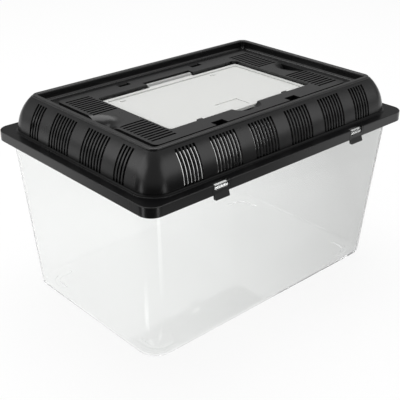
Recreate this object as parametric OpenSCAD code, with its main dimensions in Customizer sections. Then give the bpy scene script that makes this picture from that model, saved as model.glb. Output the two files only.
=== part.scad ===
// Clear plastic pet keeper: a tapered tub, a vented domed lid that snaps on, and a hinged feeding hatch.
// X runs along the long side, the front is at -Y, Z is up, and the tub's feet stand on Z = 0.

/* [Tub] */
// Length over the tub's rim
rim_length = 391; // [370:1:420]
// Width over the tub's rim
rim_width = 271; // [255:1:300]
// Height of the tub from the foot of its feet to the top of its rim
tub_height = 197.5; // [150:0.5:240]
// Thickness of the rim
rim_thickness = 3.9; // [2.5:0.1:5]
// How far the rim stands out past the end walls
rim_overhang_x = 3.8; // [2:0.1:7]
// How far the rim stands out past the long walls
rim_overhang_y = 7.6; // [3:0.1:10]
// How much each end wall leans in from rim to floor
tub_draft_x = 10.5; // [4:0.5:16]
// How much each long wall leans in from rim to floor
tub_draft_y = 12.5; // [4:0.5:18]
// Thickness of the tub's walls
tub_wall = 2.2; // [1.6:0.1:3]
// Thickness of the tub's floor
tub_floor = 2.4; // [1.8:0.1:4]
// Radius of the upright corners under the rim
tub_corner_top = 18; // [14:1:26]
// Radius of the upright corners at the floor
tub_corner_bottom = 24; // [16:1:34]
// Radius of the edge between walls and floor
floor_fillet = 4; // [2:0.5:6]
// Diameter of the moulding gate's dimple under the floor
gate_mark_d = 18; // [8:1:30]
// Depth of the gate's dimple
gate_mark_depth = 0.6; // [0.3:0.1:1]

/* [Feet] */
// Height of the corner feet
foot_height = 2; // [1:0.5:4]
// Width of the corner feet's rib
foot_width = 5; // [3:0.5:8]
// Distance from the floor's edge to a foot
foot_inset = 13; // [8:1:20]
// Length of each leg of a corner foot
foot_leg = 30; // [20:1:45]

/* [Lid shell] */
// Wall thickness of the lid
lid_wall = 2.2; // [1.6:0.1:3]
// Gap between the rim's edge and the lid's skirt
rim_clear = 2.3; // [2.1:0.1:4]
// Gap between the rim's top and the lid
seat_gap = 0.3; // [0.2:0.1:0.8]
// Height of the skirt's outer face
skirt_depth = 11.3; // [9:0.1:15]
// Corner radius of the skirt
skirt_corner = 15.5; // [13:0.5:22]
// Rounding of the skirt's outer edges
skirt_round = 0.8; // [0.4:0.1:2]
// Distance from the skirt's face across the ledge to the dome's wall
ledge_width = 12.4; // [11.5:0.1:14]

/* [Dome] */
// Corner radius at the foot of the dome
dome_corner = 25; // [24:1:32]
// Radius of the dome's curved side
dome_side_radius = 54; // [50:1:64]
// Thickness of the dome's slotted side
dome_wall = 3; // [2:0.1:3.4]
// Height of the ridge above the ledge
ridge_rise = 42.2; // [40:0.1:45]
// Distance from the foot of the dome in to the ridge
ridge_inset = 18.1; // [17:0.1:20]
// Width of the ridge
ridge_width = 6.2; // [4.6:0.1:6.8]
// Corner radius of the ridge's outer edge
ridge_corner = 10; // [9.5:0.5:16]
// How far the dome's side stops below the ridge's top
shoulder_drop = 2.2; // [2:0.1:4]
// Rounding of the ridge's top edges
ridge_round = 1.5; // [0.6:0.1:2]
// Radius at the foot of the ridge's inner wall
channel_fillet = 3; // [1:0.5:3]
// Radius where the dome meets the ledge
dome_foot_fillet = 3.4; // [1:0.2:4]

/* [Top panel] */
// Depth from the ridge's top to the channel round the panel
channel_depth = 10.7; // [8:0.1:13]
// Width of the channel at the ends
channel_width_x = 15.6; // [10:0.1:19]
// Width of the channel along the long sides
channel_width_y = 15.8; // [12:0.1:17]
// Height of the panel above the channel
panel_rise = 2.8; // [1.5:0.1:5]
// Corner radius of the panel
panel_corner = 6; // [3:0.5:12]
// Length of the opening in the panel
opening_length = 218; // [190:1:222]
// Width of the opening in the panel
opening_width = 128.2; // [104:0.2:134]
// Corner radius of the opening
opening_corner = 5; // [3:0.5:10]
// Width of the lip that the hatch rests on
seat_lip = 3; // [3:0.5:8]

/* [Hatch] */
// Gap between the hatch and the opening at the ends
hatch_gap_side = 1.8; // [0.8:0.1:3]
// Gap between the hatch and the opening at the front
hatch_gap_front = 1.7; // [0.8:0.1:3]
// Gap between the hatch and the opening at the hinge side
hatch_gap_back = 3.8; // [3:0.1:6]
// Gap between the hatch and its seat
hatch_seat_gap = 0.3; // [0.2:0.1:0.6]
// Thickness of the pane
pane_thickness = 2; // [1.4:0.1:2.8]
// How far the hatch's rim stands above the pane
hatch_rim_rise = 1.2; // [0.6:0.1:2]
// Width of the hatch's rim
hatch_rim_width = 5.5; // [3:0.5:9]
// Depth from the panel's top to the hatch's rim
hatch_recess = 3.2; // [2.6:0.1:5]
// Width of the sunk finger pad on the hatch
pad_width = 34; // [20:1:50]
// Length of the sunk finger pad, front to back
pad_length = 24; // [12:1:40]
// Depth of the finger pad below the pane's top
pad_depth = 0.7; // [0.3:0.1:1]
// Distance of the left nib from the middle of the hatch
nib_left = 85; // [50:1:95]
// Distance of the right nib from the middle of the hatch
nib_right = 55; // [30:1:95]
// Distance of the nibs from the hatch's back edge
nib_back = 13; // [10:0.5:30]
// Length of a nib
nib_length = 7; // [4:0.5:12]
// Width of a nib
nib_width = 3; // [2:0.5:5]
// Height of a nib above the pane
nib_height = 0.8; // [0.4:0.1:1.2]

/* [Hatch hinge] */
// Length of the hinge barrel on the hatch
barrel_length = 69; // [40:1:90]
// Diameter of the hinge bar in the lid
hinge_bar_d = 3.6; // [3:0.1:4]
// Running clearance of the barrel on the bar, on the radius
hinge_fit = 0.08; // [0.05:0.01:0.1]
// Wall of the hinge barrel
barrel_wall = 1.5; // [1.2:0.1:1.6]
// Width of the snap-on slot along the barrel
barrel_slot = 2.4; // [1.6:0.1:2.8]
// Distance from the opening's back edge to the hinge bar
hinge_set_back = 2.9; // [2.7:0.1:4]
// Clearance round the barrel in its slot
barrel_clear = 2.2; // [1:0.1:4]

/* [Hatch catches] */
// Distance of the two catches from the middle
catch_x = 66; // [45:1:85]
// Width of a catch
catch_width = 7; // [4:0.5:12]
// How far a catch reaches over the hatch
catch_reach = 3.2; // [2.6:0.1:4.5]
// Thickness of a catch
catch_thickness = 1.6; // [1:0.1:2.2]
// Clearance round a catch
catch_clear = 0.6; // [0.4:0.1:1.2]

/* [Latches] */
// Distance of the latches from the middle of the long sides
latch_x = 107; // [80:1:150]
// Width of the lug on the tub's rim
lug_width = 19; // [14:0.5:26]
// How far a lug stands out past the rim
lug_reach = 2; // [1.4:0.1:2]
// Width of each arm of a latch
latch_arm = 2.2; // [1.6:0.1:3.5]
// Gap between a latch and what lies beside it
latch_gap = 0.4; // [0.3:0.1:0.8]
// Width of the finger lip
lip_width = 19; // [12:0.5:22]
// How far the finger lip hangs below the skirt
lip_drop = 5.5; // [3:0.1:8]
// How far the finger lip stands out past the skirt
lip_reach = 2; // [1:0.1:4]
// Depth of the lug's window in the ledge
window_depth = 3; // [2.4:0.1:4]

/* [Side vents] */
// Width of a slot in the dome
slot_width = 2.9; // [1.4:0.1:3.3]
// Distance from slot to slot on the long sides
long_slot_pitch = 4.65; // [4.4:0.05:5]
// Distance from slot to slot on the short sides
short_slot_pitch = 4.9; // [4.4:0.05:5.2]
// Height of the slots' lower ends above the ledge
slot_low = 2.5; // [2:0.5:10]
// Height of the slots' upper ends above the ledge
slot_high = 37.5; // [25:0.1:37.7]
// Slots in each full group
full_group = 8; // [4:1:8]
// Slots in each end group of the long sides
long_end_group = 6; // [2:1:6]
// Slots in each end group of the short sides
short_end_group = 4; // [2:1:4]
// Distance between the full groups on the long sides
long_group_pitch = 54.9; // [46:0.1:56]
// Distance from the middle to an end group on the long sides
long_end_group_x = 132.3; // [128:0.1:136]
// Distance from the middle to a full group on the short sides
short_group_y = 29; // [24:0.5:32]
// Distance from the middle to an end group on the short sides
short_end_group_y = 76.8; // [74:0.1:82]

/* [Panel vents] */
// Slots in each of the four grids
grid_slots = 10; // [4:1:10]
// Distance from slot to slot in a grid
grid_pitch = 5.7; // [4:0.1:5.8]
// Width of a slot in a grid
grid_slot_width = 3; // [1.5:0.1:3.4]
// Distance from the panel's long edge to a grid
grid_edge_y = 10.5; // [8:0.5:14]
// Distance from the panel's end to a grid
grid_edge_x = 4.2; // [4:0.1:12]

/* [Finger scoops and sockets] */
// Depth of the two end scoops below the panel
end_scoop_depth = 8; // [4:0.5:10]
// Distance of an end scoop's middle beyond the panel's end
end_scoop_offset = 7.2; // [5:0.2:12]
// Radius of the deep part of an end scoop
end_scoop_radius = 15; // [12:0.5:18]
// Width of an end scoop's curved side
end_scoop_run = 15; // [9:0.5:16]
// Depth of the scoop in front of the hatch
front_scoop_depth = 8; // [5:0.5:9]
// How far the front scoop runs out from the opening
front_scoop_run = 14; // [10:0.5:16]
// Length of the straight middle of the front scoop
front_scoop_middle = 12; // [6:1:30]
// Distance of the sockets from the middle
socket_x = 57; // [45:1:100]
// Length of a socket
socket_length = 16.5; // [8:0.5:24]
// Width of a socket
socket_width = 11.5; // [6:0.5:13]
// Depth of a socket below the panel
socket_depth = 9; // [6:0.5:12]
// Distance from the opening's edge to a socket
socket_set_back = 14; // [10:0.5:18]

/* [Hidden] */

CLEAR = [0.86, 0.88, 0.88, 0.35];
BLACK = [0.09, 0.09, 0.095];

eps = 0.01;
past = 1;
round_fn = 64;
hull_fn = 32;
small_steps = 4;

// Tub
rim_hx = rim_length / 2;
rim_hy = rim_width / 2;
rim_under = tub_height - rim_thickness;
wall_hx = rim_hx - rim_overhang_x;
wall_hy = rim_hy - rim_overhang_y;

// Lid shell
lid_hx = rim_hx + rim_clear + lid_wall;
lid_hy = rim_hy + rim_clear + lid_wall;
skirt_cx = lid_hx - skirt_corner;
skirt_cy = lid_hy - skirt_corner;
ledge_under = tub_height + seat_gap;
ledge_top = ledge_under + lid_wall;
skirt_bottom = ledge_top - skirt_depth;
rim_corner = skirt_corner - lid_wall - rim_clear;

// Dome: radii are measured from the middle of the dome's corners
dome_cx = lid_hx - ledge_width - dome_corner;
dome_cy = lid_hy - ledge_width - dome_corner;
side_middle = dome_corner - dome_side_radius;
ridge_top = ledge_top + ridge_rise;
shoulder_z = ridge_top - shoulder_drop;
inner_side_radius = dome_side_radius - dome_wall;
inner_top_z = shoulder_z - lid_wall;
channel_top = ridge_top - channel_depth;
channel_under = channel_top - lid_wall;

// Ridge: radii are measured from the middle of the ridge's corners
ridge_hx = lid_hx - ledge_width - ridge_inset;
ridge_hy = lid_hy - ledge_width - ridge_inset;
slot_reach = ridge_inset + min(dome_wall, ridge_width - lid_wall);
ridge_in = ridge_corner - ridge_width;
well_hx = ridge_hx - ridge_width;
well_hy = ridge_hy - ridge_width;

// Panel
panel_hx = well_hx - channel_width_x;
panel_hy = well_hy - channel_width_y;
panel_top = channel_top + panel_rise;
panel_under = panel_top - lid_wall;
opening_hx = opening_length / 2;
opening_hy = opening_width / 2;
end_scoop_curve = (pow(end_scoop_run, 2) + pow(end_scoop_depth, 2)) / (2 * end_scoop_depth);
front_scoop_curve = (pow(front_scoop_run, 2) + pow(front_scoop_depth, 2)) / (2 * front_scoop_depth);

// Hatch
hatch_top = panel_top - hatch_recess;
pane_top = hatch_top - hatch_rim_rise;
pane_under = pane_top - pane_thickness;
seat_top = pane_under - hatch_seat_gap;
seat_under = seat_top - lid_wall;
hatch_hx = opening_hx - hatch_gap_side;
hatch_front = -opening_hy + hatch_gap_front;
hatch_back = opening_hy - hatch_gap_back;

// Hinge
barrel_bore_r = hinge_bar_d / 2 + hinge_fit;
barrel_r = barrel_bore_r + barrel_wall;
hinge_y = opening_hy + hinge_set_back;
hinge_top_gap = 0.6;
hinge_floor_gap = 0.5;
hinge_z = panel_top - barrel_r - hinge_top_gap;
hinge_slot_hx = barrel_length / 2 + barrel_clear;
hinge_slot_back = hinge_y + barrel_r + barrel_clear;
hinge_slot_floor = hinge_z - barrel_r - hinge_floor_gap;

// Latches
lug_out = rim_hy + lug_reach;
strap_inner = lid_hy - lid_wall;
strap_middle = lid_hy - lid_wall / 2;
window_hx = lug_width / 2 + latch_gap;
strap_hx = window_hx + latch_arm;
pivot_z = ledge_top - lid_wall / 2;
pivot_r = lid_wall / 2;
pivot_fit = 0.05;
bar_top = rim_under - latch_gap;

// A solid rounded block, centred on the Z axis, between two heights
module rounded_block(hx, hy, r, low, high) {
    for (sx = [-1, 1])
        for (sy = [-1, 1])
            translate([sx * (hx - r), sy * (hy - r), low])
                cylinder(r = r, h = high - low, $fn = round_fn);
    translate([-hx, -hy + r, low])
        cube([2 * hx, 2 * (hy - r), high - low]);
    translate([-hx + r, -hy, low])
        cube([2 * (hx - r), 2 * hy, high - low]);
}

// A block between opposite corners
module block(from, to) {
    translate(from)
        cube(to - from);
}

// Sweeps a profile, drawn as radius and height, round a rounded rectangle with its corner middles at cx, cy
module ring(cx, cy) {
    for (turn = [0, 180])
        rotate([0, 0, turn]) {
            translate([-cx, cy, 0])
                rotate([90, 0, 90])
                    linear_extrude(2 * cx)
                        children();
            translate([cx, cy, 0])
                rotate([90, 0, 0])
                    linear_extrude(2 * cy)
                        children();
            translate([cx, cy, 0])
                rotate_extrude(angle = 90, $fn = round_fn)
                    children();
            translate([-cx, cy, 0])
                rotate([0, 0, 90])
                    rotate_extrude(angle = 90, $fn = round_fn)
                        children();
        }
}

// Copies its children to all four quarters by mirroring
module quarters() {
    for (sx = [0, 1])
        for (sy = [0, 1])
            mirror([sx, 0, 0])
                mirror([0, sy, 0])
                    children();
}

// Thin slice of the tub at height z, drawn in by inset from the leaning wall
module tub_slice(z, inset) {
    up = (z - foot_height) / (rim_under - foot_height);
    hx = wall_hx - tub_draft_x * (1 - up) - inset;
    hy = wall_hy - tub_draft_y * (1 - up) - inset;
    r = tub_corner_bottom + (tub_corner_top - tub_corner_bottom) * up - inset;
    for (sx = [-1, 1])
        for (sy = [-1, 1])
            translate([sx * (hx - r), sy * (hy - r), z])
                cylinder(r = r, h = eps, $fn = hull_fn);
}

// The tapered body of the tub, filled, from a floor height up to a top height
module tub_body(floor_z, top_z, inset, fillet) {
    hull() {
        for (i = [0:small_steps])
            tub_slice(floor_z + fillet * (1 - cos(90 * i / small_steps)),
                      inset + fillet * (1 - sin(90 * i / small_steps)));
        tub_slice(top_z, inset);
    }
}

// One L-shaped foot that follows a corner of the floor
module corner_foot() {
    hx = wall_hx - tub_draft_x - foot_inset;
    hy = wall_hy - tub_draft_y - foot_inset;
    r = tub_corner_bottom - foot_inset / 2;
    intersection() {
        difference() {
            rounded_block(hx, hy, r, 0, foot_height + eps);
            rounded_block(hx - foot_width, hy - foot_width, r - foot_width, -past, foot_height + past);
        }
        union() {
            block([hx - foot_leg, hy - foot_leg, -past], [hx + past, hy + past, foot_height + past]);
        }
    }
}

module tub() {
    inner_fillet = floor_fillet - tub_wall / 2;
    color(CLEAR)
        difference() {
            union() {
                tub_body(foot_height, tub_height - eps, 0, floor_fillet);
                rounded_block(rim_hx, rim_hy, rim_corner, rim_under, tub_height);
                quarters() {
                    corner_foot();
                    block([latch_x - lug_width / 2, rim_hy - past, rim_under],
                          [latch_x + lug_width / 2, lug_out, tub_height]);
                }
            }
            tub_body(foot_height + tub_floor, tub_height + past, tub_wall, inner_fillet);
            translate([0, 0, foot_height - past])
                cylinder(d = gate_mark_d, h = past + gate_mark_depth, $fn = round_fn);
        }
}

// A flat rectangle between opposite corners
module area(from, to) {
    translate(from)
        square(to - from);
}

// A disc in the section plane
module disc(x, z, r) {
    translate([x, z])
        circle(r = r, $fn = round_fn);
}

// Section of the dome's side, with the shoulder that carries the ridge
module dome_profile() {
    shoulder_in = dome_corner - ridge_inset - lid_wall;
    foot = dome_foot_fillet;
    difference() {
        intersection() {
            disc(side_middle, ledge_top, dome_side_radius);
            area([shoulder_in, ledge_top], [dome_corner + past, shoulder_z]);
        }
        intersection() {
            disc(side_middle, ledge_top, inner_side_radius);
            area([shoulder_in - past, ledge_top - past], [dome_corner, inner_top_z]);
        }
    }
    area([dome_corner - dome_wall, ledge_under], [dome_corner + foot, ledge_top + eps]);
    difference() {
        area([dome_corner - lid_wall / 2, ledge_top], [dome_corner + foot, ledge_top + foot]);
        disc(dome_corner + foot, ledge_top + foot, foot);
    }
}

// Section of the ridge and of its inner wall down to the channel
module ridge_profile() {
    bead_z = ridge_top - ridge_round;
    fillet_x = ridge_in - channel_fillet;
    fillet_z = channel_top + channel_fillet;
    area([ridge_in, channel_under], [ridge_in + lid_wall, bead_z]);
    area([ridge_in, inner_top_z], [ridge_corner, bead_z]);
    area([ridge_in + ridge_round, bead_z - past], [ridge_corner - ridge_round, ridge_top]);
    disc(ridge_in + ridge_round, bead_z, ridge_round);
    disc(ridge_corner - ridge_round, bead_z, ridge_round);
    difference() {
        area([fillet_x, channel_under], [ridge_in + eps, fillet_z]);
        disc(fillet_x, fillet_z, channel_fillet);
    }
}

// Section of the skirt with its rounded upper edge
module skirt_profile() {
    top_z = ledge_top - skirt_round;
    area([skirt_corner - lid_wall, skirt_bottom], [skirt_corner, top_z]);
    area([skirt_corner - 2 * lid_wall, ledge_under], [skirt_corner - skirt_round, ledge_top]);
    disc(skirt_corner - skirt_round, top_z, skirt_round);
}

// The flat ledge between the skirt and the dome
module ledge() {
    difference() {
        rounded_block(lid_hx - lid_wall, lid_hy - lid_wall, skirt_corner - lid_wall, ledge_under, ledge_top);
        rounded_block(lid_hx - ledge_width - lid_wall / 2, lid_hy - ledge_width - lid_wall / 2,
                      dome_corner - lid_wall / 2, ledge_under - past, ledge_top + past);
    }
}

// One row of upright slots through a side, centred on x
module slot_row(x, count, pitch, face) {
    for (i = [0:count - 1])
        block([x + (i - (count - 1) / 2) * pitch - slot_width / 2, face - slot_reach, ledge_top + slot_low],
              [x + (i - (count - 1) / 2) * pitch + slot_width / 2, face + past, ledge_top + slot_high]);
}

module dome_slots() {
    long_face = lid_hy - ledge_width;
    short_face = lid_hx - ledge_width;
    quarters() {
        for (x = [long_group_pitch / 2, 3 * long_group_pitch / 2])
            slot_row(x, full_group, long_slot_pitch, long_face);
        slot_row(long_end_group_x, long_end_group, long_slot_pitch, long_face);
        mirror([1, -1, 0]) {
            slot_row(short_group_y, full_group, short_slot_pitch, short_face);
            slot_row(short_end_group_y, short_end_group, short_slot_pitch, short_face);
        }
    }
}

// An end scoop's hollow, or with a drop the filled pan under it, up to a height and out to an end
module end_scoop(drop, top_z, end_x) {
    far = end_scoop_radius + end_scoop_run;
    low = panel_top - end_scoop_depth - drop;
    intersection() {
        translate([panel_hx + end_scoop_offset, 0, 0])
            rotate_extrude($fn = round_fn)
                difference() {
                    area([0, low], [far, panel_top + 2 * past]);
                    disc(far, panel_top - drop - end_scoop_curve, end_scoop_curve);
                }
        block([opening_hx, -panel_hy, low - past], [end_x, panel_hy, top_z]);
    }
}

// The front scoop's hollow, or with a drop the filled pan under it, up to a height
module front_scoop(drop, top_z) {
    reach = front_scoop_middle / 2;
    low = panel_top - front_scoop_depth - drop;
    intersection() {
        translate([0, -opening_hy, low + front_scoop_curve]) {
            for (s = [-1, 1])
                translate([s * reach, 0, 0])
                    sphere(r = front_scoop_curve, $fn = round_fn);
            translate([-reach, 0, 0])
                rotate([0, 90, 0])
                    cylinder(r = front_scoop_curve, h = 2 * reach, $fn = round_fn);
        }
        block([-opening_hx, -panel_hy - lid_wall, low - past], [opening_hx, -opening_hy + past, top_z]);
    }
}

module sockets(grow, low, high) {
    quarters()
        block([socket_x - socket_length / 2 - grow, opening_hy + socket_set_back - grow, low],
              [socket_x + socket_length / 2 + grow, opening_hy + socket_set_back + socket_width + grow, high]);
}

// The pits that the sockets are sunk in, up to the panel's top and beside it up to the channel
module socket_pits() {
    low = panel_top - socket_depth - lid_wall;
    sockets(lid_wall, low, channel_top);
    intersection() {
        sockets(lid_wall, low, panel_top);
        block([-panel_hx, -panel_hy, low - past], [panel_hx, panel_hy, panel_top]);
    }
}

module grids() {
    inner = opening_hx + lid_wall;
    outer = panel_hx - grid_edge_x;
    first = panel_hy - grid_edge_y;
    quarters()
        for (i = [0:grid_slots - 1])
            block([inner, first - grid_slot_width - i * grid_pitch, channel_under - past],
                  [outer, first - i * grid_pitch, panel_top + past]);
}

// The slot behind the opening that the hinge barrel turns in, grown by a wall for its housing
module hinge_slot(grow, low, high) {
    block([-hinge_slot_hx - grow, opening_hy - past, low], [hinge_slot_hx + grow, hinge_slot_back + grow, high]);
}

// Top of the lid inside the ridge: the channel, the raised panel and all that is let into it
module lid_top() {
    slab_hx = well_hx - channel_fillet / 2;
    slab_hy = well_hy - channel_fillet / 2;
    slab_corner = ridge_in - channel_fillet / 2;
    difference() {
        union() {
            difference() {
                union() {
                    rounded_block(slab_hx, slab_hy, slab_corner, channel_under, channel_top);
                    rounded_block(panel_hx, panel_hy, panel_corner, channel_under, panel_top);
                }
                rounded_block(panel_hx - lid_wall, panel_hy - lid_wall, panel_corner - lid_wall / 2,
                              channel_under - past, panel_under);
            }
            rounded_block(opening_hx + lid_wall, opening_hy + lid_wall, opening_corner + lid_wall,
                          seat_under, panel_top);
            hinge_slot(lid_wall, hinge_slot_floor - lid_wall, panel_top);
            socket_pits();
            mirror_x()
                end_scoop_pan();
            front_scoop(lid_wall, panel_top - eps);
        }
        rounded_block(opening_hx, opening_hy, opening_corner, seat_top, panel_top + past);
        rounded_block(opening_hx - seat_lip, opening_hy - seat_lip, opening_corner, seat_under - past - lid_wall,
                      panel_top + past);
        hinge_slot(0, hinge_slot_floor, panel_top + past);
        sockets(0, panel_top - socket_depth, panel_top + past);
        mirror_x()
            end_scoop(0, panel_top + past, panel_hx + lid_wall);
        front_scoop(0, panel_top + past);
        grids();
    }
}

// Repeats its children at both ends of the lid
module mirror_x() {
    children();
    mirror([1, 0, 0])
        children();
}

// The filled pan of an end scoop, with the part under the channel kept below the channel's floor
module end_scoop_pan() {
    end_scoop(lid_wall, panel_top - eps, panel_hx - lid_wall / 2);
    end_scoop(lid_wall, channel_top, panel_hx + 2 * lid_wall);
}

module hinge_bar() {
    reach = hinge_slot_hx + lid_wall / 2;
    translate([-reach, hinge_y, hinge_z])
        rotate([0, 90, 0])
            cylinder(d = hinge_bar_d, h = 2 * reach, $fn = round_fn);
}

// Small catches on the opening's front edge that hold the hatch down
module hatch_catches() {
    for (s = [-1, 1])
        block([s * catch_x - catch_width / 2, -opening_hy - eps, panel_top - catch_thickness],
              [s * catch_x + catch_width / 2, -opening_hy + catch_reach, panel_top]);
}

// Room in the ledge and skirt for one latch and for the tub's lug
module latch_cut() {
    cut_hx = strap_hx + latch_gap;
    translate([latch_x, 0, 0]) {
        block([-cut_hx, strap_inner - latch_gap / 2, skirt_bottom - past], [cut_hx, lid_hy + past, pivot_z]);
        block([-cut_hx, strap_middle, pivot_z - eps], [cut_hx, lid_hy + past, ledge_top + past]);
        block([-window_hx, lid_hy - window_depth - lid_wall, skirt_bottom - past],
              [window_hx, lid_hy + past, ledge_top + past]);
        translate([-cut_hx, strap_middle, pivot_z])
            rotate([0, 90, 0])
                cylinder(r = pivot_r + pivot_fit, h = 2 * cut_hx, $fn = round_fn);
    }
}

module lid() {
    color(BLACK) {
        difference() {
            union() {
                ring(dome_cx, dome_cy)
                    dome_profile();
                ring(ridge_hx - ridge_corner, ridge_hy - ridge_corner)
                    ridge_profile();
                ring(skirt_cx, skirt_cy)
                    skirt_profile();
                ledge();
            }
            dome_slots();
            quarters()
                latch_cut();
        }
        lid_top();
        hinge_bar();
        hatch_catches();
    }
}

// The part of the hatch that turns on the bar, with its snap-on slot at the bottom
module hinge_barrel() {
    web_y = hinge_y - barrel_bore_r - barrel_wall / 2;
    difference() {
        union() {
            translate([-barrel_length / 2, hinge_y, hinge_z])
                rotate([0, 90, 0])
                    cylinder(r = barrel_r, h = barrel_length, $fn = round_fn);
            block([-barrel_length / 2, hatch_back - past, pane_under + hatch_rim_rise],
                  [barrel_length / 2, web_y, hatch_top]);
        }
        translate([-barrel_length / 2 - past, hinge_y, hinge_z])
            rotate([0, 90, 0])
                cylinder(r = barrel_bore_r, h = barrel_length + 2 * past, $fn = round_fn);
        block([-barrel_length / 2 - past, hinge_y - barrel_slot / 2, hinge_z - barrel_r - past],
              [barrel_length / 2 + past, hinge_y + barrel_slot / 2, hinge_z]);
    }
}

module hatch() {
    hy = (hatch_back - hatch_front) / 2;
    middle = (hatch_back + hatch_front) / 2;
    corner = opening_corner - hatch_gap_side / 2;
    pad_front = hatch_front + hatch_rim_width;
    notch_hx = catch_width / 2 + catch_clear;
    color(CLEAR) {
        difference() {
            translate([0, middle, 0])
                rounded_block(hatch_hx, hy, corner, pane_under, hatch_top);
            translate([0, middle, 0])
                rounded_block(hatch_hx - hatch_rim_width, hy - hatch_rim_width, corner / 2, pane_top,
                              hatch_top + past);
            block([-pad_width / 2, pad_front, pane_top - pad_depth],
                  [pad_width / 2, pad_front + pad_length, pane_top + past]);
            for (s = [-1, 1])
                block([s * catch_x - notch_hx, hatch_front - past, pane_under - past],
                      [s * catch_x + notch_hx, -opening_hy + catch_reach + catch_clear, hatch_top + past]);
        }
        for (x = [-nib_left, nib_right])
            block([x - nib_length / 2, hatch_back - nib_back - nib_width / 2, pane_top - eps],
                  [x + nib_length / 2, hatch_back - nib_back + nib_width / 2, pane_top + nib_height]);
        hinge_barrel();
    }
}

// Section of a latch's finger lip
module lip_profile() {
    low = skirt_bottom - lip_drop;
    polygon([[strap_inner, skirt_bottom + past], [strap_inner, low + lip_reach / 2],
             [strap_inner + lip_reach / 2, low], [lid_hy + lip_reach, low],
             [lid_hy + lip_reach, low + lip_reach / 2], [lid_hy, skirt_bottom + past]]);
}

// One latch at the back right: two arms round the lug, a bar under it, and a finger lip
module latch() {
    translate([latch_x, 0, 0]) {
        for (s = [-1, 1]) {
            arm_x = s * (strap_hx - latch_arm / 2);
            block([arm_x - latch_arm / 2, strap_inner, skirt_bottom], [arm_x + latch_arm / 2, lid_hy, pivot_z]);
            translate([arm_x - latch_arm / 2, strap_middle, pivot_z])
                rotate([0, 90, 0])
                    cylinder(r = pivot_r, h = latch_arm, $fn = round_fn);
        }
        block([-strap_hx, strap_inner, skirt_bottom], [strap_hx, lid_hy, bar_top]);
        translate([-lip_width / 2, 0, 0])
            rotate([90, 0, 90])
                linear_extrude(lip_width)
                    lip_profile();
    }
}

module rear_right_latch() {
    color(BLACK)
        latch();
}

module rear_left_latch() {
    color(BLACK)
        mirror([1, 0, 0])
            latch();
}

module front_right_latch() {
    color(BLACK)
        mirror([0, 1, 0])
            latch();
}

module front_left_latch() {
    color(BLACK)
        mirror([1, 0, 0])
            mirror([0, 1, 0])
                latch();
}

tub();
lid();
hatch();
front_left_latch();
front_right_latch();
rear_left_latch();
rear_right_latch();
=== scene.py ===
"""Looks of a clear plastic pet keeper with a black vented lid, set on a white table."""

import math

import bmesh
import bpy
from bpy.props import FloatProperty, FloatVectorProperty, PointerProperty
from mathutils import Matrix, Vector

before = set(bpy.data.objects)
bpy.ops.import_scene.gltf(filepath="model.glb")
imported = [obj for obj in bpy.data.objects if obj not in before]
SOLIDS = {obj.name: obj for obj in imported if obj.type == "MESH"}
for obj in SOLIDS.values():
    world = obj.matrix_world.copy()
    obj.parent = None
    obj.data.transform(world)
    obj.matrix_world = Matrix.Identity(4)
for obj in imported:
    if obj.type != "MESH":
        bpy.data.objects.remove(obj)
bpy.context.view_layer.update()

bl_info = {
    "name": "Pet Keeper Looks",
    "version": (1, 0, 0),
    "blender": (4, 5, 0),
    "location": "3D View > Sidebar > Keeper",
    "description": "Gives a clear pet keeper and its black lid their finish, and lights them",
    "category": "Object",
}

LATCHES = ("front_left_latch", "front_right_latch", "rear_left_latch", "rear_right_latch")

# Where things are on the lid, in metres from the keeper's middle and up from the table
LEDGE_TOP = 0.2
LEDGE_SLACK = 0.00005
LEDGE_FILLET = 0.0036
DOME_FOOT = 0.201
DOME_TOP = 0.239
LONG_SIDE_SLOTS_PAST_Y = 0.106
LONG_SIDE_SLOTS_WITHIN_X = 0.15
END_SLOTS_PAST_X = 0.166
END_SLOTS_WITHIN_Y = 0.1
GRID_UNDERSIDE = 0.228
GRID_TOP = 0.2342
GRID_PAST_X = 0.109
GRID_WITHIN_X = 0.146

# A face's normal along an axis: at least this if it looks along it, less than that if it doesn't
LOOKS_ALONG = 0.99
STANDS_UPRIGHT = 0.01

# The black plastic's mottling, as shares of its own colour and parts of its roughness
DARK_MOTTLE = 0.8
LIGHT_MOTTLE = 1.25
CLOUD_SHARE = 0.6
ROUGHNESS_DROP = 0.04
ROUGHNESS_CLOUD = 0.05
ROUGHNESS_RUB = 0.04
GRAIN_DEPTH = 0.00008
GRAIN_STRENGTH = 0.5
PLASTIC_IOR = 1.5

# The clear plastic's haze, its polished skin and the hatch's darker barrel
FLOW_HAZE = 0.02
DUST_HAZE = 0.01
SKIN_ROUGHNESS = 0.04
LAMPLIGHT_PASSED = 0.97
BARREL_PAST_Y = 0.0625
BARREL_EDGE = 0.0008
BARREL_TINT = 0.55

# The camera, fitted to the outlines of the lid and the tub
CAMERA_PLACE = (-0.617242, -0.668589, 0.547401)
CAMERA_TILT = 63.438
CAMERA_TURN = -42.283
CAMERA_SENSOR = 36
CAMERA_NEAR = 0.05
CAMERA_FAR = 60

# Lamps: name, place, width and depth in metres, and the stage's setting that holds the power
LAMPS = (
    ("key_lamp", (0.3, 0.5, 1.9), (1.8, 1.8), "key"),
    ("side_lamp", (-1.35, 0.55, 0.85), (1.5, 0.9), "fill"),
    ("front_lamp", (0.65, -1.3, 0.85), (1.5, 0.9), "front"),
)
LAMP_TARGET = (0, 0, 0.2)

WHITE = (1, 1, 1)

# Directions on the table, as X and Y
FAR_RIGHT = (0.74, -0.67)
TOWARD_CAMERA = (-0.67, -0.74)

# The table's own glow, and the shade that the tub shows behind it at the far right
TABLE_GLOW = 1.02
TABLE_GLOW_SHARE = 0.85
SHADE_START = -0.13
SHADE_WIDTH = 0.35
SHADE_CURVE = 1.7
SHADE_DEPTH = 0.5
SHADE_END = 0.9
SHADE_END_WIDTH = 0.3

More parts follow.
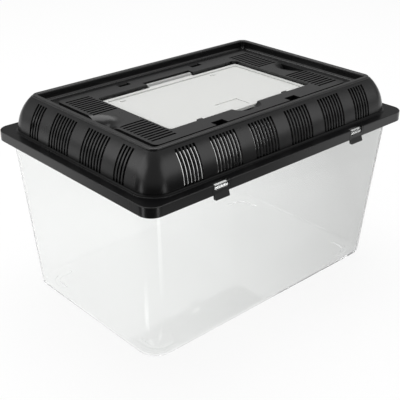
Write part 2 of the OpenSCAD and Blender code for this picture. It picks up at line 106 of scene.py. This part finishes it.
# The table as glossy rays see it, a painted reflection: bright near the keeper, a painted dark
# patch in front, and two glowing strips that paint highlights on the keeper's near corners
MIRRORED_TABLE = 0.95
DARK_START = 0.348
DARK_WIDTH = 0.12
FRONT_WIDTH = 0.2
STRIPS_X = -0.18
STRIPS_Y = -0.12
LEFT_STRIP = (-0.98, 0.2)
FRONT_STRIP = (0.11, -0.99)
FRONT_STRIP_SHARE = 0.8
PAINTED_HIGHLIGHT_GLOW = 3.5
STRIP_SPREAD = 0.15
STRIP_SOFT_START = 0.01


# ---------------------------------------------------------------- shader maths

class Number:
    """A socket that holds a number and takes part in Python arithmetic."""

    def __init__(self, graph, socket):
        self.graph = graph
        self.socket = socket

    def _with(self, operation, first, second):
        made = self.graph.node("ShaderNodeMath", {"operation": operation}, {0: first, 1: second})
        return Number(self.graph, made.outputs[0])

    def __add__(self, other):
        return self._with("ADD", self, other)

    def __radd__(self, other):
        return self._with("ADD", other, self)

    def __sub__(self, other):
        return self._with("SUBTRACT", self, other)

    def __rsub__(self, other):
        return self._with("SUBTRACT", other, self)

    def __mul__(self, other):
        return self._with("MULTIPLY", self, other)

    def __rmul__(self, other):
        return self._with("MULTIPLY", other, self)

    def __truediv__(self, other):
        return self._with("DIVIDE", self, other)

    def __pow__(self, other):
        return self._with("POWER", self, other)

    def or_more(self, other):
        """The larger of the two."""
        return self._with("MAXIMUM", self, other)

    def or_less(self, other):
        """The smaller of the two."""
        return self._with("MINIMUM", self, other)

    def ramp(self, start, width):
        """Rises from 0 at the start to 1 at one width further on."""
        return ((self - start) / width).or_more(0).or_less(1)


class Graph:
    """The nodes of one material or of the world."""

    def __init__(self, tree):
        self.tree = tree
        tree.nodes.clear()

    def node(self, kind, settings=None, values=None):
        """Adds a node with its settings, then the values or links of its sockets."""
        made = self.tree.nodes.new(kind)
        for name, setting in (settings or {}).items():
            setattr(made, name, setting)
        for name, value in (values or {}).items():
            self.put(made.inputs[name], value)
        return made

    def put(self, socket, value):
        """Links a socket, or sets its value."""
        if isinstance(value, Number):
            value = value.socket
        if isinstance(value, bpy.types.NodeSocket):
            self.tree.links.new(value, socket)
        else:
            socket.default_value = value

    def number(self, socket):
        """A socket, ready for arithmetic."""
        return Number(self, socket)

    def place(self):
        """The X, Y and Z of the point that is shaded, in the piece's own metres."""
        point = self.node("ShaderNodeTexCoord").outputs["Object"]
        parts = self.node("ShaderNodeSeparateXYZ", None, {"Vector": point}).outputs
        return [self.number(parts[axis]) for axis in "XYZ"]

    def noise(self, scale, detail, rough, stretch=(1, 1, 1)):
        """A noise over the piece's own coordinates, in repeats a metre."""
        point = self.node("ShaderNodeTexCoord").outputs["Object"]
        mapped = self.node("ShaderNodeMapping", None, {"Vector": point, "Scale": stretch})
        made = self.node("ShaderNodeTexNoise", None, {
            "Vector": mapped.outputs[0], "Scale": scale, "Detail": detail, "Roughness": rough})
        return self.number(made.outputs["Fac"])

    def blend(self, share, low, high):
        """A colour between two, by a share from 0 to 1."""
        made = self.node("ShaderNodeMix", {"data_type": "RGBA"}, {0: share, 6: low, 7: high})
        return made.outputs[2]

    def bump(self, height, depth, strength=1.0):
        """A normal that stands up by the height, of at most the depth in metres."""
        made = self.node("ShaderNodeBump", None, {
            "Height": height, "Distance": depth, "Strength": strength})
        return made.outputs[0]

    def surface(self, shader):
        """Ends the material with its shader."""
        out = self.node("ShaderNodeOutputMaterial")
        self.tree.links.new(shader, out.inputs["Surface"])


def along(x, y, direction):
    """How far a point lies along a direction on the table."""
    return x * direction[0] + y * direction[1]


def length(x, y):
    """How far a point lies from the middle."""
    return (x * x + y * y) ** 0.5


def new_material(name):
    """An empty material, and the graph to fill it with."""
    material = bpy.data.materials.new(name)
    material.use_nodes = True
    return material, Graph(material.node_tree)


def rgba(colour, share=1.0):
    """A colour for a socket, or a darker or lighter share of it."""
    return (*(part * share for part in colour), 1.0)


# ------------------------------------------------------------------- finishes

def black_satin(name, finish, shine):
    """Black moulded plastic with a fine spark-eroded texture."""
    material, g = new_material(name)
    grain = g.noise(scale=1500, detail=3.0, rough=0.6)
    cloud = g.noise(scale=14, detail=2.0, rough=0.5)
    rub = g.noise(scale=60, detail=4.0, rough=0.6, stretch=(1, 1, 0.3))
    mottle = cloud * CLOUD_SHARE + grain * (1 - CLOUD_SHARE)
    colour = g.blend(mottle, rgba(finish.lid_colour, DARK_MOTTLE),
                     rgba(finish.lid_colour, LIGHT_MOTTLE))
    rough = finish.lid_roughness - ROUGHNESS_DROP + cloud * ROUGHNESS_CLOUD + rub * ROUGHNESS_RUB
    shader = g.node("ShaderNodeBsdfPrincipled", None, {
        "Base Color": colour, "Roughness": rough, "IOR": PLASTIC_IOR, "Specular IOR Level": shine,
        "Normal": g.bump(grain, GRAIN_DEPTH, GRAIN_STRENGTH)})
    g.surface(shader.outputs[0])
    return material


def clear_plastic(name, colour, roughness, milk, waves, bend, coat, dark_barrel=False):
    """Clear moulded plastic that lets lamps through, with faint waves from its mould."""
    material, g = new_material(name)
    flow = g.noise(scale=9, detail=2.0, rough=0.5, stretch=(1, 1, 0.6))
    dust = g.noise(scale=420, detail=3.0, rough=0.7)
    tint = rgba(colour)
    if dark_barrel:
        _, back, _ = g.place()
        tint = g.blend(back.ramp(BARREL_PAST_Y, BARREL_EDGE), tint, rgba(colour, BARREL_TINT))
    shader = g.node("ShaderNodeBsdfPrincipled", None, {
        "Base Color": tint, "Roughness": roughness + flow * FLOW_HAZE + dust * DUST_HAZE,
        "IOR": bend, "Transmission Weight": 1.0 - milk, "Coat Weight": coat,
        "Coat Roughness": SKIN_ROUGHNESS, "Coat IOR": PLASTIC_IOR, "Normal": g.bump(flow, waves)})
    path = g.node("ShaderNodeLightPath").outputs
    passing = g.number(path["Is Shadow Ray"]).or_more(path["Is Diffuse Ray"])
    gap = g.node("ShaderNodeBsdfTransparent", None, {"Color": rgba(colour, LAMPLIGHT_PASSED)})
    mix = g.node("ShaderNodeMixShader", None, {0: passing, 1: shader.outputs[0], 2: gap.outputs[0]})
    g.surface(mix.outputs[0])
    return material


def dress(solid, material):
    """Puts one finish on a solid of the frame."""
    solid.data.materials.clear()
    solid.data.materials.append(material)


def in_slot(face):
    """Whether a face of the lid is a wall of one of its upright slots or of a grid's slots, where
    shade is painted.
    """
    x, y, height = abs(face.center.x), abs(face.center.y), face.center.z
    along_x, along_y, along_z = (abs(part) for part in face.normal)
    in_dome = DOME_FOOT < height < DOME_TOP
    in_long_side = y > LONG_SIDE_SLOTS_PAST_Y and x < LONG_SIDE_SLOTS_WITHIN_X
    in_end = x > END_SLOTS_PAST_X and y < END_SLOTS_WITHIN_Y
    in_grid = GRID_UNDERSIDE < height < GRID_TOP and GRID_PAST_X < x < GRID_WITHIN_X
    return (in_dome and in_long_side and along_x > LOOKS_ALONG
            or in_dome and in_end and along_y > LOOKS_ALONG
            or in_grid and along_z < STANDS_UPRIGHT)


def on_ledge(face):
    """Whether a face of the lid is on its ledge or on the fillet where the dome meets it, where
    shade is painted.
    """
    low, high = LEDGE_TOP - LEDGE_SLACK, LEDGE_TOP + LEDGE_FILLET
    return low < face.center.z < high and face.normal.z > STANDS_UPRIGHT


# ----------------------------------------------------------------- properties

class KeeperFinish(bpy.types.PropertyGroup):
    """Colours and gloss of the keeper."""

    lid_colour: FloatVectorProperty(
        name="Lid colour", description="Colour of the black plastic", subtype="COLOR",
        default=(0.004, 0.004, 0.0042), min=0, max=1)
    lid_roughness: FloatProperty(
        name="Lid roughness", description="How satin the lid is", subtype="FACTOR",
        default=0.28, min=0, max=1)
    lid_shine: FloatProperty(
        name="Lid shine", description="How much the lid mirrors", subtype="FACTOR",
        default=0.5, min=0, max=1)
    # Painted shade: the ledge and its fillet get a copy of the lid plastic that mirrors less, so
    # they read darker
    ledge_painted_shade_shine: FloatProperty(
        name="Ledge shine", description="How much the ledge round the dome mirrors",
        subtype="FACTOR", default=0.12, min=0, max=1)
    # Painted shade: the walls of the slots get a copy of the lid plastic that mirrors less, so they
    # read near black
    slot_painted_shade_shine: FloatProperty(
        name="Slot shine", description="How much the walls of the slots mirror",
        subtype="FACTOR", default=0.05, min=0, max=1)
    tub_colour: FloatVectorProperty(
        name="Tub tint", description="Tint of the clear tub", subtype="COLOR",
        default=(0.978, 0.984, 0.979), min=0, max=1)
    tub_roughness: FloatProperty(
        name="Tub roughness", description="How hazy the tub is", subtype="FACTOR",
        default=0.05, min=0, max=1)
    tub_milk: FloatProperty(
        name="Tub milk", description="How milky the tub is", subtype="FACTOR",
        default=0.03, min=0, max=1)
    tub_waves: FloatProperty(
        name="Tub waves", description="Height of the waves in the tub's walls", unit="LENGTH",
        default=0.0006, min=0)
    tub_bend: FloatProperty(
        name="Tub bend", description="How much the tub bends light: low, as its walls are thin",
        default=1.11, min=1, max=2)
    tub_coat: FloatProperty(
        name="Tub skin", description="How much the tub's polished skin mirrors",
        subtype="FACTOR", default=0.7, min=0, max=1)
    hatch_colour: FloatVectorProperty(
        name="Hatch tint", description="Tint of the hatch", subtype="COLOR",
        default=(0.80, 0.805, 0.79), min=0, max=1)
    hatch_roughness: FloatProperty(
        name="Hatch roughness", description="How hazy the hatch is", subtype="FACTOR",
        default=0.15, min=0, max=1)
    hatch_milk: FloatProperty(
        name="Hatch milk", description="How milky the hatch is", subtype="FACTOR",
        default=0.75, min=0, max=1)
    hatch_waves: FloatProperty(
        name="Hatch waves", description="Height of the waves in the hatch", unit="LENGTH",
        default=0.0002, min=0)
    hatch_bend: FloatProperty(
        name="Hatch bend", description="How much the hatch bends light", default=1.3,
        min=1, max=2)
    hatch_coat: FloatProperty(
        name="Hatch skin", description="How much the hatch's polished skin mirrors",
        subtype="FACTOR", default=0.3, min=0, max=1)


class KeeperStage(bpy.types.PropertyGroup):
    """Floor, lamps and camera."""

    floor_size: FloatProperty(
        name="Floor", description="Width of the floor", unit="LENGTH", default=14, min=1)
    floor_colour: FloatVectorProperty(
        name="Floor colour", description="Colour of the floor", subtype="COLOR",
        default=(0.9, 0.9, 0.9), min=0, max=1)
    # Painted reflection: the dark patch in front, as the lid's skirt and the tub's walls mirror it
    painted_dark_reflection: FloatProperty(
        name="Mirrored floor", description="How bright the floor in front is in gloss",
        default=0.05, min=0)
    sky: FloatProperty(
        name="Soft light", description="Strength of the light from all round", default=0.37,
        min=0)
    key: FloatProperty(
        name="Key lamp", description="Power of the large lamp overhead", unit="POWER",
        default=26, min=0)
    fill: FloatProperty(
        name="Side lamp", description="Power of the lamp at the left", unit="POWER",
        default=7, min=0)
    front: FloatProperty(
        name="Front lamp", description="Power of the lamp in front", unit="POWER",
        default=5, min=0)
    lens: FloatProperty(
        name="Lens", description="Focal length in millimetres", default=73.8, min=10)


# ------------------------------------------------------------------ operators

class KEEPER_OT_tub(bpy.types.Operator):
    """Finish the clear tub"""

    bl_idname = "keeper.tub"
    bl_label = "Clear Tub"

    def execute(self, context):
        finish = context.scene.keeper_finish
        dress(SOLIDS["tub"], clear_plastic(
            "clear_tub_plastic", finish.tub_colour, finish.tub_roughness, finish.tub_milk,
            finish.tub_waves, finish.tub_bend, finish.tub_coat))
        return {"FINISHED"}


class KEEPER_OT_lid(bpy.types.Operator):
    """Finish the black lid, with painted shade on the walls of its slots and on its ledge"""

    bl_idname = "keeper.lid"
    bl_label = "Black Lid"

    def execute(self, context):
        finish = context.scene.keeper_finish
        lid = SOLIDS["lid"]
        dress(lid, black_satin("black_satin_plastic", finish, finish.lid_shine))
        # Painted shade: two copies of the lid plastic that mirror less, one for the walls of the
        # slots and one for the ledge
        lid.data.materials.append(black_satin("black_slot_plastic", finish, finish.slot_painted_shade_shine))
        lid.data.materials.append(black_satin("black_ledge_plastic", finish, finish.ledge_painted_shade_shine))
        # The slot walls and the ledge get the painted shade
        for face in lid.data.polygons:
            if in_slot(face):
                face.material_index = 1
            elif on_ledge(face):
                face.material_index = 2
        return {"FINISHED"}


class KEEPER_OT_hatch(bpy.types.Operator):
    """Finish the translucent hatch, with a darker barrel along its hinge"""

    bl_idname = "keeper.hatch"
    bl_label = "Clear Hatch"

    def execute(self, context):
        finish = context.scene.keeper_finish
        dress(SOLIDS["hatch"], clear_plastic(
            "clear_hatch_plastic", finish.hatch_colour, finish.hatch_roughness,
            finish.hatch_milk, finish.hatch_waves, finish.hatch_bend, finish.hatch_coat,
            dark_barrel=True))
        return {"FINISHED"}


class KEEPER_OT_latches(bpy.types.Operator):
    """Finish the four latches in the lid's own plastic"""

    bl_idname = "keeper.latches"
    bl_label = "Latches"

    def execute(self, context):
        material = bpy.data.materials["black_satin_plastic"]
        for name in LATCHES:
            dress(SOLIDS[name], material)
        return {"FINISHED"}


class KEEPER_OT_stage(bpy.types.Operator):
    """Set the floor, the lamps and the camera"""

    bl_idname = "keeper.stage"
    bl_label = "Stage"

    def execute(self, context):
        stage = context.scene.keeper_stage
        self.floor(stage)
        self.sky(context.scene, stage)
        for name, place, size, power in LAMPS:
            self.lamp(name, place, size, getattr(stage, power))
        self.camera(context.scene, stage)
        return {"FINISHED"}

    def floor(self, stage):
        """A white table that keeps the keeper's shadow, and that glossy rays see as a painted
        reflection.
        """
        shape = bmesh.new()
        bmesh.ops.create_grid(shape, x_segments=1, y_segments=1, size=stage.floor_size / 2)
        mesh = bpy.data.meshes.new("floor")
        shape.to_mesh(mesh)
        shape.free()
        floor = bpy.data.objects.new("floor", mesh)
        bpy.context.scene.collection.objects.link(floor)
        material, g = new_material("floor_white")
        path = g.node("ShaderNodeLightPath").outputs
        x, y, _ = g.place()
        through = g.number(path["Is Transmission Ray"])
        seen = g.number(path["Is Camera Ray"]).or_more(through)
        mirrored = g.number(path["Is Glossy Ray"]) * (1 - through)
        matt = g.node("ShaderNodeBsdfDiffuse", None, {"Color": rgba(stage.floor_colour)})
        glow = self.glow(g, TABLE_GLOW - self.shade(x, y) * through * SHADE_DEPTH)
        table = g.node("ShaderNodeMixShader", None, {
            0: seen * TABLE_GLOW_SHARE, 1: matt.outputs[0], 2: glow.outputs[0]})
        # Glossy rays see the painted reflection in place of the table
        gloss = self.glow(g, self.painted_reflection(x, y, stage.painted_dark_reflection))
        both = g.node("ShaderNodeMixShader", None, {
            0: mirrored, 1: table.outputs[0], 2: gloss.outputs[0]})
        g.surface(both.outputs[0])
        dress(floor, material)

    def glow(self, g, brightness):
        """A grey glow, whose brightness can change over the table."""
        return g.node("ShaderNodeEmission", None, {"Color": brightness, "Strength": 1.0})

    def shade(self, x, y):
        """The share of shade on the table, which deepens to the far right and ends near by."""
        deepening = along(x, y, FAR_RIGHT).ramp(SHADE_START, SHADE_WIDTH) ** SHADE_CURVE
        return deepening * (1 - length(x, y).ramp(SHADE_END, SHADE_END_WIDTH))

    def painted_reflection(self, x, y, dark):
        """The table's brightness in gloss, a painted reflection: a painted dark patch in front,
        with two glowing strips as painted highlights.
        """
        apart = length(x, y).ramp(DARK_START, DARK_WIDTH)
        before = along(x, y, TOWARD_CAMERA).ramp(0, FRONT_WIDTH)
        painted_highlights = self.strip(x, y, LEFT_STRIP) + self.strip(x, y, FRONT_STRIP) * FRONT_STRIP_SHARE
        return MIRRORED_TABLE - apart * before * (MIRRORED_TABLE - dark) + painted_highlights * PAINTED_HIGHLIGHT_GLOW

    def strip(self, x, y, outward):
        """A narrow glowing strip on the table, from the keeper's near corner outward, seen in gloss
        as a painted highlight.
        """
        x, y = x - STRIPS_X, y - STRIPS_Y
        reach = length(x, y) + STRIP_SOFT_START
        off = along(x, y, (outward[1], -outward[0]))
        narrow = 1 - (off * off) ** 0.5 / reach / STRIP_SPREAD
        return narrow.or_more(0) * (along(x, y, outward).or_more(0) / reach)

    def sky(self, scene, stage):
        """Soft light from all round, which the camera sees as white."""
        world = bpy.data.worlds.new("studio")
        world.use_nodes = True
        scene.world = world
        g = Graph(world.node_tree)
        path = g.node("ShaderNodeLightPath").outputs
        seen = g.number(path["Is Camera Ray"]).or_more(path["Is Transmission Ray"])
        strength = seen * (1 - stage.sky) + stage.sky
        light = g.node("ShaderNodeBackground", None, {"Color": rgba(WHITE), "Strength": strength})
        out = g.node("ShaderNodeOutputWorld")
        g.tree.links.new(light.outputs[0], out.inputs["Surface"])

    def lamp(self, name, place, size, power):
        """A rectangular lamp aimed at the lid."""
        data = bpy.data.lights.new(name, "AREA")
        data.shape = "RECTANGLE"
        data.size, data.size_y = size
        data.energy = power
        lamp = bpy.data.objects.new(name, data)
        lamp.location = place
        aim = Vector(LAMP_TARGET) - Vector(place)
        lamp.rotation_euler = aim.to_track_quat("-Z", "Y").to_euler()
        bpy.context.scene.collection.objects.link(lamp)

    def camera(self, scene, stage):
        """The camera that the photo was taken with, as fitted."""
        data = bpy.data.cameras.new("camera")
        data.lens = stage.lens
        data.sensor_width = CAMERA_SENSOR
        data.clip_start = CAMERA_NEAR
        data.clip_end = CAMERA_FAR
        camera = bpy.data.objects.new("camera", data)
        camera.location = CAMERA_PLACE
        camera.rotation_euler = (math.radians(CAMERA_TILT), 0, math.radians(CAMERA_TURN))
        scene.collection.objects.link(camera)
        scene.camera = camera
        scene.view_settings.view_transform = "Standard"


class KEEPER_PT_panel(bpy.types.Panel):
    """Lists the keeper's steps"""

    bl_label = "Keeper"
    bl_idname = "KEEPER_PT_panel"
    bl_space_type = "VIEW_3D"
    bl_region_type = "UI"
    bl_category = "Keeper"

    def draw(self, context):
        for step in STEPS:
            self.layout.operator(step.bl_idname)


STEPS = (KEEPER_OT_tub, KEEPER_OT_lid, KEEPER_OT_hatch, KEEPER_OT_latches, KEEPER_OT_stage)
CLASSES = (KeeperFinish, KeeperStage, *STEPS, KEEPER_PT_panel)


def register():
    for kind in CLASSES:
        bpy.utils.register_class(kind)
    bpy.types.Scene.keeper_finish = PointerProperty(type=KeeperFinish)
    bpy.types.Scene.keeper_stage = PointerProperty(type=KeeperStage)


def unregister():
    del bpy.types.Scene.keeper_stage
    del bpy.types.Scene.keeper_finish
    for kind in reversed(CLASSES):
        bpy.utils.unregister_class(kind)


def main():
    register()
    for step in STEPS:
        group, name = step.bl_idname.split(".")
        getattr(getattr(bpy.ops, group), name)()


if __name__ == "__main__":
    main()
